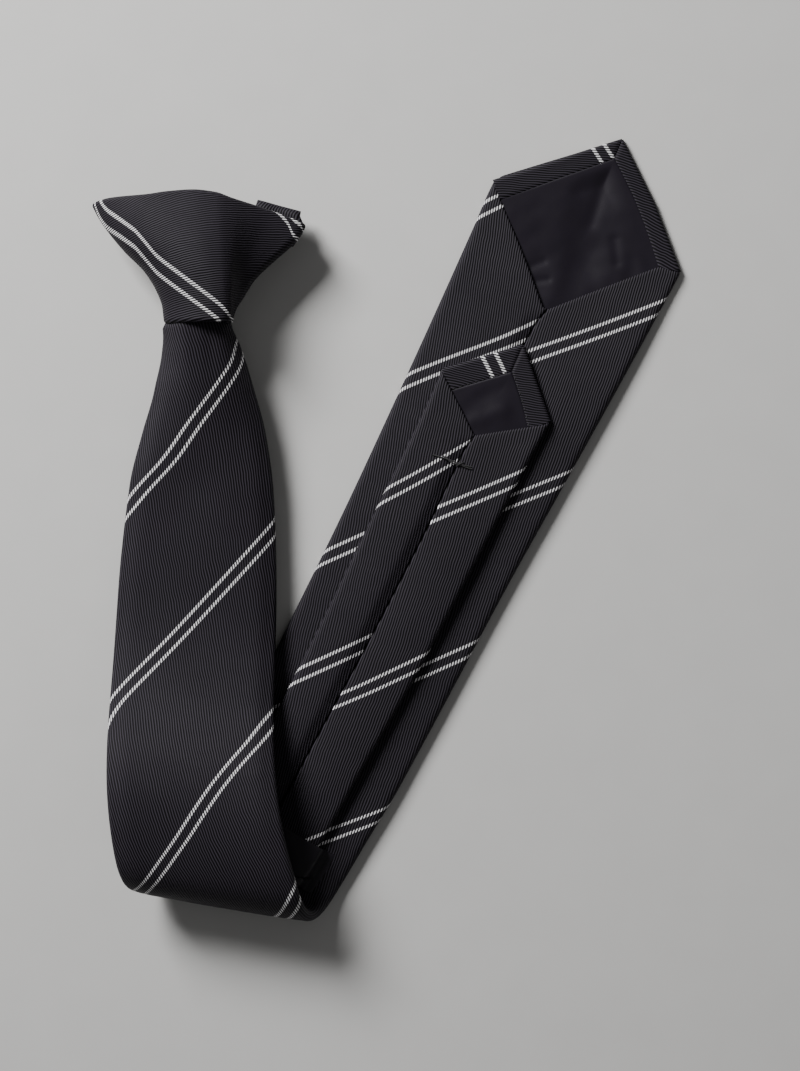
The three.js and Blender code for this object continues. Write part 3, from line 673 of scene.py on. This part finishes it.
def knotCloth():
    pairLength = valueAt(knotTotals, "length", knot["pairAt"][0], False)
    pairUp = knot["pairAt"][1] - valueAt(knotTotals, "rise", knot["pairAt"][0], False)
    # The rows' shares: 1 ends the tuck, 2 the mouth's roll, 3 the outside, 4 the rim's roll, 5 the inside.
    total = table("part way", (0, 0), (0.05, 1), (0.10, 2), (0.76, 3), (0.88, 4), (1, 5))

    def flatAt(x, y):
        way = valueAt(total, "way", y, False)
        level = clamp(way - 2)
        spot, front = knotSpot(level, x, 0)
        up = spot.y
        if way < 2:
            up -= (2 - way) * knot["tuckCloth"]
        if way > 3:
            up += (min(way, 4) - 3) * pi * knot["rimRoll"] + max(way - 4, 0) * knot["innerCloth"]
        rise, length = [valueAt(knotTotals, key, spot.x, False) for key in ("rise", "length")]
        if not front:
            edgeX = knotSpot(level, 0.25 if x < 0.5 else 0.75, 0)[0].x
            length = 2 * valueAt(knotTotals, "length", edgeX, False) - length
            rise = 2 * valueAt(knotTotals, "rise", edgeX, False) - rise
        u, v = onPattern(length - pairLength, (up - rise - pairUp) * knot["ribSqueeze"])
        return u, v, x, way

    def pointAt(u, v, x, way):
        if way < 1:  # tucked into the mouth
            spot = knotSpot(0, x, 2 * knot["mouthRoll"])[0]
            spot.y += (1 - way) * knot["tuckDown"]
        elif way < 2:  # rolled out of it
            turn = (way - 1) * pi
            spot = knotSpot(0, x, knot["mouthRoll"] * (1 + cos(turn)))[0]
            spot.y -= sin(turn) * knot["mouthRoll"]
        elif way <= 3:
            spot, front = knotSpot(way - 2, x, 0)
            if front:
                wave = Vector((spot.x / knot["waveWide"], spot.y / knot["waveWide"], 2))
                spot.z += knot["wave"] * noise.noise(wave)
        elif way <= 4:
            turn = (way - 3) * pi
            spot = knotSpot(1, x, knot["rimRoll"] * (1 - cos(turn)))[0]
            spot.y += sin(turn) * knot["rimRoll"] * knot["rimFlat"]
        else:
            spot = knotSpot(mix(1, 1 - knot["innerPart"], way - 4), x, 2 * knot["rimRoll"])[0]
        return spot - layoutMiddle

    return clothSheet("knot_cloth", knot, flatAt, pointAt, False)


knotPiece, knotFlat, knotArea = knotCloth()

# The folded end of the wrap behind the right wing: back, over its top edge, and down in front.
tab = {
    "columns": 48, "rows": 40, "cloth": 0.5, "left": (-45.2, 106.2), "right": (-31.6, 102.5), "down": 9.8,
    "lean": (-0.24, -0.97), "thick": 2.4, "middle": 6.5, "ribTurn": radians(-12), "phase": 6.0,
    "flare": table("below out", (0, 0), (4.2, 2.2), (9.8, 0.2)),   # how far the right end spreads
    "pinch": 0.5, "pinchWide": 1.2, "wave": 0.2, "waves": 9,       # it is pressed thinner at its two ends
}


def tabCloth():
    left, right = Vector(tab["left"]), Vector(tab["right"])
    long, r = (right - left).length, tab["thick"] / 2
    downWay = Vector(tab["lean"])

    def flatAt(x, y):
        wrapped = tab["down"] * 2 + pi * r
        s, t = x * long, y * wrapped
        u = s * cos(tab["ribTurn"]) - t * sin(tab["ribTurn"])
        v = s * sin(tab["ribTurn"]) + t * cos(tab["ribTurn"]) + tab["phase"]
        return u, v, x, t

    def pointAt(u, v, x, t):
        turned = clamp((t - tab["down"]) / r, 0, pi)
        below = max(tab["down"] - t, 0) + max(t - tab["down"] - pi * r, 0)
        spot = left.lerp(right, x) + downWay * (below + r - r * sin(turned))
        spot.x += x * valueAt(tab["flare"], "out", below)
        pinch = tab["pinch"] * (1 - soft(min(x, 1 - x) * long / tab["pinchWide"]))
        height = tab["middle"] - (r - pinch) * cos(turned) + tab["wave"] * sin(x * tab["waves"])
        return Vector((spot.x, spot.y, height)) - layoutMiddle

    return clothSheet("knot_tab_cloth", tab, flatAt, pointAt)


tabPiece, tabFlat, tabArea = tabCloth()

# Threads: the bar tack across the tail's seam, and slip stitches along the linings' upper edges.
print("Threads")
thread = {
    "thick": 0.42, "stitch": 0.9, "stitchThick": 0.28, "pitch": 2.4, "proud": 0.1,
    "tack": [  # across and along the tie, and how far above the tail's back
        [(-11.8, 86.2, 0.1), (-8.3, 85.5, 0.35), (-3.5, 84.9, 0.45), (-0.6, 85.1, 0.4), (1.4, 84.6, 0.1)],
        [(-8.9, 84.9, 0.1), (-5.6, 85.7, 0.4), (-3.2, 85.4, 0.5), (-0.8, 84.5, 0.4), (1.0, 84.1, 0.1)],
        [(-3.4, 86.0, 0.1), (-3.0, 85.2, 0.75), (-2.4, 84.6, 0.75), (-2.0, 83.9, 0.1)]],
}


def strand(name, points):
    curve = bpy.data.curves.new(name, "CURVE")
    curve.dimensions = "3D"
    curve.bevel_depth = thread["thick"] / 2 * mm
    curve.bevel_resolution = 3
    curve.use_fill_caps = True
    line = curve.splines.new("NURBS")
    line.points.add(len(points) - 1)
    for spot, point in zip(line.points, points):
        spot.co = (*(point * mm), 1)
    line.order_u = 3
    line.use_endpoint_u = True
    line.resolution_u = 8
    holder = bpy.data.objects.new(name, curve)
    bpy.context.collection.objects.link(holder)
    graph = bpy.context.evaluated_depsgraph_get()
    mesh = bpy.data.meshes.new_from_object(holder.evaluated_get(graph))
    bpy.data.objects.remove(holder)
    mesh.shade_smooth()
    piece = bpy.data.objects.new(name, mesh)
    bpy.context.collection.objects.link(piece)
    return piece


def barTack():
    back = tipBack(tail)
    strands = []
    for number, points in enumerate(thread["tack"]):
        line = [place(across, along, back - lift) for across, along, lift in points]
        strands.append(strand(f"bar_tack_{number + 1}", line))
    return strands


def slipStitches(name, spec):
    out = tipFront(spec["of"]) - spec["top"] + thread["proud"]
    size = Vector((thread["stitch"], thread["stitchThick"], thread["stitchThick"])) / 2 * mm
    bm = bmesh.new()
    for end in ("left", "right"):
        a, b = Vector(spec["mitre"]), Vector(spec[end])
        count = int((b - a).length / thread["pitch"])
        way = place(*b, 0) - place(*a, 0)
        turn = Vector((1, 0, 0)).rotation_difference(way.normalized())
        for number in range(1, count):
            spot = a.lerp(b, number / count)
            if end == "right":
                spot += bowed(spec, number / count)
            where = Matrix.LocRotScale(place(*spot, out) * mm, turn, size)
            bmesh.ops.create_icosphere(bm, subdivisions=1, radius=1, matrix=where)
    return finishPiece(name, bm, {})


tackPieces = barTack()
stitchPieces = [slipStitches(name.replace("lining", "stitches"), spec) for name, spec in linings.items()]

# Finishes. Colours are sRGB hex values. Patterns are in millimetres of the cloth's own map, or in metres of
# the piece's own space: the steel's lines and the thread's fluff, 0.4 mm apart, are coarser than real ones.
print("Finishes")


def linear(hexColour):
    parts = [int(hexColour[k:k + 2], 16) / 255 for k in (1, 3, 5)]
    return (*[part / 12.92 if part <= 0.04045 else ((part + 0.055) / 1.055) ** 2.4 for part in parts], 1)


def addNode(tree, kind, settings=None, links=None):
    node = tree.nodes.new(kind)
    for name, value in (settings or {}).items():
        if isinstance(name, int) or name in node.inputs:
            node.inputs[name].default_value = value
        else:
            setattr(node, name, value)
    for name, source in (links or {}).items():
        tree.links.new(source, node.inputs[name])
    return node


def newMaterial(name, settings):
    material = bpy.data.materials.new(name)
    material.use_nodes = True
    tree = material.node_tree
    tree.nodes.clear()
    shader = addNode(tree, "ShaderNodeBsdfPrincipled", settings)
    addNode(tree, "ShaderNodeOutputMaterial", links={"Surface": shader.outputs[0]})
    return material, tree, shader


def clothMap(tree):
    return addNode(tree, "ShaderNodeUVMap", {"uv_map": "Cloth"}).outputs[0]


def ownSpace(tree):
    return addNode(tree, "ShaderNodeTexCoord").outputs["Object"]


def speckle(tree, spot, scale, detail):
    node = addNode(tree, "ShaderNodeTexNoise", {"Scale": scale, "Detail": detail}, {"Vector": spot})
    return node.outputs[0]


def ranged(tree, value, before, after):  # the value taken from one range into another
    limits = {"From Min": before[0], "From Max": before[1], "To Min": after[0], "To Max": after[1]}
    return addNode(tree, "ShaderNodeMapRange", limits, {"Value": value}).outputs[0]


def tinted(tree, shader, factor, *colours):
    ramp = addNode(tree, "ShaderNodeValToRGB", links={"Fac": factor})
    for element, colour in zip(ramp.color_ramp.elements, colours):
        element.color = colour
    tree.links.new(ramp.outputs[0], shader.inputs["Base Color"])


def raised(tree, shader, height, strength, relief):
    settings = {"Strength": strength, "Distance": relief * mm}
    bump = addNode(tree, "ShaderNodeBump", settings, {"Height": height})
    tree.links.new(bump.outputs[0], shader.inputs["Normal"])


# Polyester rib twill, jacquard woven: dull black with a violet cast, raised diagonal ribs, and pairs of thin
# white lines whose picks show only on top of the ribs, as a row of slanting dashes. The grooves between the
# ribs are painted near black, as painted shade.
def ribTwill(name):
    material, tree, shader = newMaterial(name, {"Roughness": 0.6, "Specular IOR Level": 0.14})
    spot = clothMap(tree)

    def across(angle, pitch):  # distance square to a direction, in pitches
        way = (-sin(angle) / pitch, cos(angle) / pitch, 0)
        node = addNode(tree, "ShaderNodeVectorMath", {"operation": "DOT_PRODUCT", 1: way}, {0: spot})
        return node.outputs["Value"]

    def maths(operation, settings, links):
        return addNode(tree, "ShaderNodeMath", {"operation": operation, **settings}, links).outputs[0]

    def blended(part):  # two colours by a factor; inputs 6 and 7 are the colours, and output 2 the result
        return addNode(tree, "ShaderNodeMix", {"data_type": "RGBA"}, {"Factor": part})

    loose = maths("MULTIPLY", {1: twill["loose"]}, {0: speckle(tree, spot, twill["looseScale"], 2.0)})
    ribs = maths("ADD", {}, {0: across(twill["ribAngle"], twill["ribPitch"]), 1: loose})
    wave = maths("SINE", {}, {0: maths("MULTIPLY", {1: 2 * pi}, {0: ribs})})
    height = maths("MULTIPLY_ADD", {1: 0.5, 2: 0.5}, {0: wave})
    lines = maths("SUBTRACT", {1: twill["phase"]}, {0: across(twill["stripeAngle"], 1)})
    pair = maths("WRAP", {1: -twill["pairPitch"] / 2, 2: twill["pairPitch"] / 2}, {0: lines})
    offset = maths("SUBTRACT", {1: twill["pairGap"] / 2}, {0: maths("ABSOLUTE", {}, {0: pair})})
    half, fade = twill["line"] / 2, twill["lineSoft"]
    inLine = ranged(tree, maths("ABSOLUTE", {}, {0: offset}), (half + fade, half - fade), (0, 1))
    dash = maths("MULTIPLY", {}, {0: inLine, 1: ranged(tree, height, twill["ribTop"], (0, 1))})
    # Painted shade: by the rib's height, the colour runs from the cloth's own colour on the rib tops to near
    # black in the grooves.
    groundWithGrooveShade = blended(ranged(tree, height, twill["ribShade"], (0, 1)))
    groundWithGrooveShade.inputs[6].default_value = linear(twill["grooveShade"])
    groundWithGrooveShade.inputs[7].default_value = linear(twill["rib"])
    wear = ranged(tree, speckle(tree, spot, twill["wornScale"], 3.0), (0, 1), twill["worn"])
    worn = addNode(tree, "ShaderNodeHueSaturation", links={"Color": groundWithGrooveShade.outputs[2], "Value": wear})
    colour = blended(dash)
    tree.links.new(worn.outputs[0], colour.inputs[6])
    colour.inputs[7].default_value = linear(twill["stripe"])
    tree.links.new(colour.outputs[2], shader.inputs["Base Color"])
    raised(tree, shader, height, 0.6, twill["relief"])
    return material


# Acetate satin, woven with long floats: smooth, dark violet and quietly glossy, with no visible weave.
def liningSatin(name, colour, roughness):
    material, tree, shader = newMaterial(name, {"Roughness": roughness, "Specular IOR Level": 0.22})
    spot = clothMap(tree)
    low, high = [(*[part * share for part in linear(colour)[:3]], 1) for share in (0.8, 1.2)]
    tinted(tree, shader, speckle(tree, spot, 0.16, 4.0), low, high)
    stretch = {"Rotation": (0, 0, radians(45)), "Scale": (9, 1.2, 1)}   # 0.1 mm wide and 0.8 mm long
    floats = addNode(tree, "ShaderNodeMapping", stretch, {"Vector": spot})
    raised(tree, shader, speckle(tree, floats.outputs[0], 1.0, 2.0), 0.25, 0.05)
    return material


# Cold rolled spring steel: grey, with fine brushed lines along the strip.
def springSteel(name):
    material, tree, shader = newMaterial(name, {"Metallic": 1.0, "Base Color": linear("#8f9196")})
    drawn = addNode(tree, "ShaderNodeMapping", {"Scale": (2600, 60, 2600)}, {"Vector": ownSpace(tree)})
    lines = speckle(tree, drawn.outputs[0], 1.0, 3.0)
    tree.links.new(ranged(tree, lines, (0, 1), (0.28, 0.48)), shader.inputs["Roughness"])
    raised(tree, shader, lines, 0.2, 0.02)
    return material


# Spun polyester sewing thread: matt black, with the fluff of its two plies.
def sewingThread(name):
    material, tree, shader = newMaterial(name, {"Roughness": 0.8, "Sheen Weight": 0.2})
    fluff = speckle(tree, ownSpace(tree), 2500.0, 2.0)
    tinted(tree, shader, fluff, linear("#060506"), linear("#161417"))
    return material


# Matt paper backdrop: pale grey, with a mottle that hardly shows.
def paper(name):
    material, tree, shader = newMaterial(name, {"Roughness": 0.95, "Specular IOR Level": 0.1})
    mottle = speckle(tree, ownSpace(tree), 60.0, 4.0)
    tinted(tree, shader, mottle, linear("#c9c8c6"), linear("#cfcecc"))
    return material


twillFinish = ribTwill("polyester rib twill, jacquard woven")
liningFinish = liningSatin("acetate satin, lining", "#1a161e", 0.45)
bandFinish = liningSatin("woven satin ribbon", "#1c191f", 0.42)
threadFinish = sewingThread("spun polyester thread")


def dress(piece, finish, slot, *nodes):
    piece.data.materials.clear()
    piece.data.materials.append(finish)
    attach(piece, "root")
    if nodes:
        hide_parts(*nodes)


dress(bladePiece, twillFinish, "tie_cloth", "front_blade")
dress(tailPiece, twillFinish, "tie_cloth", "tail_blade")
dress(knotPiece, twillFinish, "tie_cloth", "knot")
dress(tabPiece, twillFinish, "tie_cloth", "knot_tab")
dress(keeperPiece, bandFinish, "band_satin", "keeper_loop")
for hem in hemPieces.values():
    dress(hem[0], twillFinish, "tie_cloth")
dress(liningPieces["blade_lining"][0], liningFinish, "lining_satin", "front_tipping")
dress(liningPieces["tail_lining"][0], liningFinish, "lining_satin", "tail_tipping")
for piece in tackPieces + stitchPieces:
    dress(piece, threadFinish, "tie_cloth")
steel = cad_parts["clip"]
steel.data.materials.clear()
steel.data.materials.append(springSteel("spring steel strip, cold rolled"))

# The stage: a pale table top, soft light from the upper left, and the camera straight above.
print("Stage")
stage = {
    "floor": 3.0, "cameraHeight": 900.0, "mmPerPixel": 0.32, "pictureHigh": 1071, "sensorHigh": 24,
    "key": {"spot": (-0.66, 0.74, 0.66), "size": 0.45, "power": 27.0},
    "fill": {"spot": (0.6, -0.5, 1.2), "size": 1.4, "power": 0.8},
    "skyColour": "#ffffff", "skyStrength": 0.1,
}


def addFloor():
    bm = bmesh.new()
    bmesh.ops.create_grid(bm, x_segments=1, y_segments=1, size=stage["floor"] / 2)
    floor = finishPiece("table_top", bm, {})
    floor.data.materials.append(paper("matt paper backdrop"))


def addLight(name, spec):
    lamp = bpy.data.lights.new(name, "AREA")
    lamp.size = spec["size"]
    lamp.energy = spec["power"]
    holder = bpy.data.objects.new(name, lamp)
    bpy.context.collection.objects.link(holder)
    holder.location = spec["spot"]
    holder.rotation_euler = (-Vector(spec["spot"])).to_track_quat("-Z", "Y").to_euler()


def addCamera():
    lens = bpy.data.cameras.new("camera")
    lens.sensor_fit = "VERTICAL"
    lens.sensor_height = stage["sensorHigh"]
    lens.lens = stage["sensorHigh"] * stage["cameraHeight"] / (stage["mmPerPixel"] * stage["pictureHigh"])
    holder = bpy.data.objects.new("camera", lens)
    bpy.context.collection.objects.link(holder)
    holder.location = (Vector((0, 0, stage["cameraHeight"])) - layoutMiddle) * mm
    bpy.context.scene.camera = holder


def addSky():
    sky = bpy.data.worlds.new("sky")
    sky.use_nodes = True
    background = sky.node_tree.nodes["Background"]
    background.inputs["Color"].default_value = linear(stage["skyColour"])
    background.inputs["Strength"].default_value = stage["skyStrength"]
    bpy.context.scene.world = sky


addFloor()
addLight("key", stage["key"])
addLight("fill", stage["fill"])
addCamera()
addSky()
